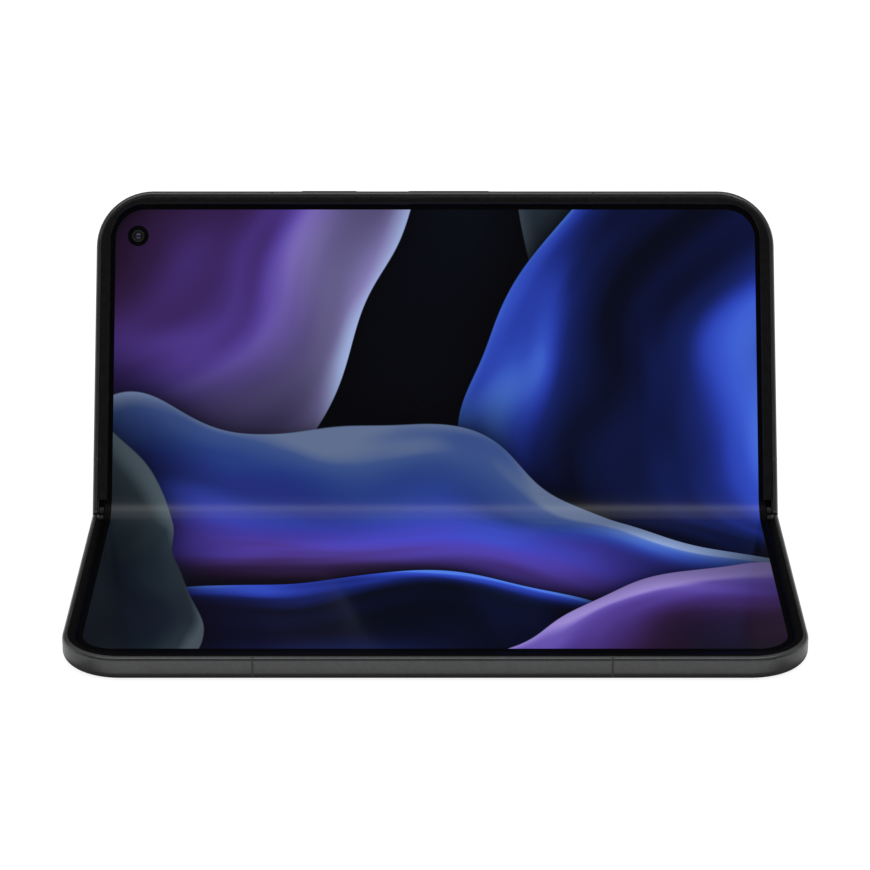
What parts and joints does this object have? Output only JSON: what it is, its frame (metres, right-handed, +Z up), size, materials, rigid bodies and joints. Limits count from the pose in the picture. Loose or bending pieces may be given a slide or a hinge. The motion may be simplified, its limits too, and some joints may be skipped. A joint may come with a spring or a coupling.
{
  "type": "foldable smartphone",
  "caption": "Book-style foldable phone standing half open: two thin metal-framed halves on a geared spine, with one flexible inner display across the fold.",
  "frame": {"origin": "centre of the lower half's outer glass, which the phone rests on", "axes": "+X along the fold towards the end with the charging port, +Y from the lower half's outer edge towards the fold, +Z up"},
  "size_m": [0.1552, 0.1158, 0.0695],
  "materials": {
    "frame_metal": "anodised dark grey, bead-blasted satin",
    "spine_metal": "dark grey coating, satin",
    "antenna_plastic": "matte, dark grey",
    "bezel_plastic": "soft matte black",
    "inner_display": null,
    "outer_glass": "polished black glass",
    "back_glass": "satin etched dark grey glass",
    "camera_glass": "polished black glass",
    "display_panel": "dark panel",
    "hinge_steel": "sintered steel, satin",
    "screw_steel": "plain steel",
    "plate_steel": "rolled steel, satin",
    "camera_body": "black barrel with a coated lens",
    "flash_plastic": "pale yellow phosphor under a clear lens",
    "speaker_mesh": "fine black mesh",
    "module_plastic": "black moulded plastic",
    "battery_foil": "dark laminated foil",
    "board_laminate": "green laminate",
    "motor_steel": "nickel plated",
    "flex_film": "amber film over copper",
    "coil_copper": "enamelled copper winding"
  },
  "bodies": {
    "lower": {"lower_frame": "frame_metal", "lower_antenna_bands": "antenna_plastic", "lower_bezel": "bezel_plastic", "display_lower": "inner_display", "lower_support_plate": "plate_steel", "cover_glass": "outer_glass", "cover_panel": "display_panel", "cover_camera": "camera_body", "earpiece_mesh": "speaker_mesh", "top_speaker": "module_plastic", "lower_battery": "battery_foil", "lower_board": "board_laminate", "haptic_motor": "motor_steel", "lower_magnets": "motor_steel", "sim_socket": "plate_steel", "lower_arm_left": "hinge_steel", "lower_arm_centre": "hinge_steel", "lower_arm_right": "hinge_steel", "lower_arm_screws": "screw_steel"},
    "spine": {"spine_cover": "spine_metal", "end_cap_left": "spine_metal", "end_cap_right": "spine_metal", "hinge_bracket_left": "hinge_steel", "hinge_bracket_right": "hinge_steel", "gear_bracket": "hinge_steel", "spine_screws": "screw_steel", "display_fold": "inner_display", "hinge_flex_left": "flex_film", "hinge_flex_right": "flex_film"},
    "upper": {"upper_frame": "frame_metal", "upper_antenna_bands": "antenna_plastic", "upper_bezel": "bezel_plastic", "display_upper": "inner_display", "upper_support_plate": "plate_steel", "inner_camera": "camera_body", "button_switches": "flex_film", "back_glass": "back_glass", "camera_island": "frame_metal", "camera_windows": "camera_glass", "wide_camera": "camera_body", "ultrawide_camera": "camera_body", "tele_camera": "camera_body", "flash_lamp": "flash_plastic", "usb_c_port": "plate_steel", "usb_c_tongue": "module_plastic", "main_speaker": "module_plastic", "charge_board": "board_laminate", "main_board": "board_laminate", "upper_battery": "battery_foil", "charging_coil": "coil_copper", "upper_magnets": "motor_steel", "upper_arm_left": "hinge_steel", "upper_arm_centre": "hinge_steel", "upper_arm_right": "hinge_steel", "upper_arm_screws": "screw_steel"},
    "sim_tray": {"sim_tray": "frame_metal"},
    "gear_lower": {"gear_lower": "hinge_steel"},
    "gear_upper": {"gear_upper": "hinge_steel"},
    "power_button": {"power_button": "frame_metal"},
    "volume_rocker": {"volume_rocker": "frame_metal"}
  },
  "joints": [
    {"name": "spine_fold", "type": "hinge", "parent": "lower", "child": "spine", "pos_m": [0, 0.0364, 0.0041], "axis": [1, 0, 0], "range_deg": [-30, 60], "deforming": ["display_fold", "hinge_flex_left", "hinge_flex_right"]},
    {"name": "upper_fold", "type": "hinge", "parent": "spine", "child": "upper", "pos_m": [0, 0.03839, 0.00525], "axis": [1, 0, 0], "range_deg": [-31, 61]},
    {"name": "gear_upper_turn", "type": "hinge", "parent": "spine", "child": "gear_upper", "pos_m": [0, 0.03877, 0.00369], "axis": [1, 0, 0], "range_deg": [-77.2, 38.6]},
    {"name": "gear_lower_turn", "type": "hinge", "parent": "spine", "child": "gear_lower", "pos_m": [0, 0.03756, 0.00299], "axis": [1, 0, 0], "range_deg": [-38.6, 77.2]},
    {"name": "sim_tray_slide", "type": "slide", "parent": "lower", "child": "sim_tray", "axis": [1, 0, 0], "range_m": [0, 0.017]},
    {"name": "power_press", "type": "slide", "parent": "upper", "child": "power_button", "axis": [0, -0.5, -0.866], "range_m": [0, 0.00018], "stiffness_N_per_m": 2000},
    {"name": "volume_rock", "type": "hinge", "parent": "upper", "child": "volume_rocker", "pos_m": [0.0031, 0.07536, 0.06699], "axis": [0, -0.866, 0.5], "range_deg": [-1, 1], "stiffness_Nm_per_rad": 0.5}
  ],
  "couplings": [
    {"joint": "upper_fold", "follows": "spine_fold", "ratio": 1},
    {"joint": "gear_upper_turn", "follows": "spine_fold", "ratio": -1.2857},
    {"joint": "gear_lower_turn", "follows": "spine_fold", "ratio": 1.2857}
  ]
}
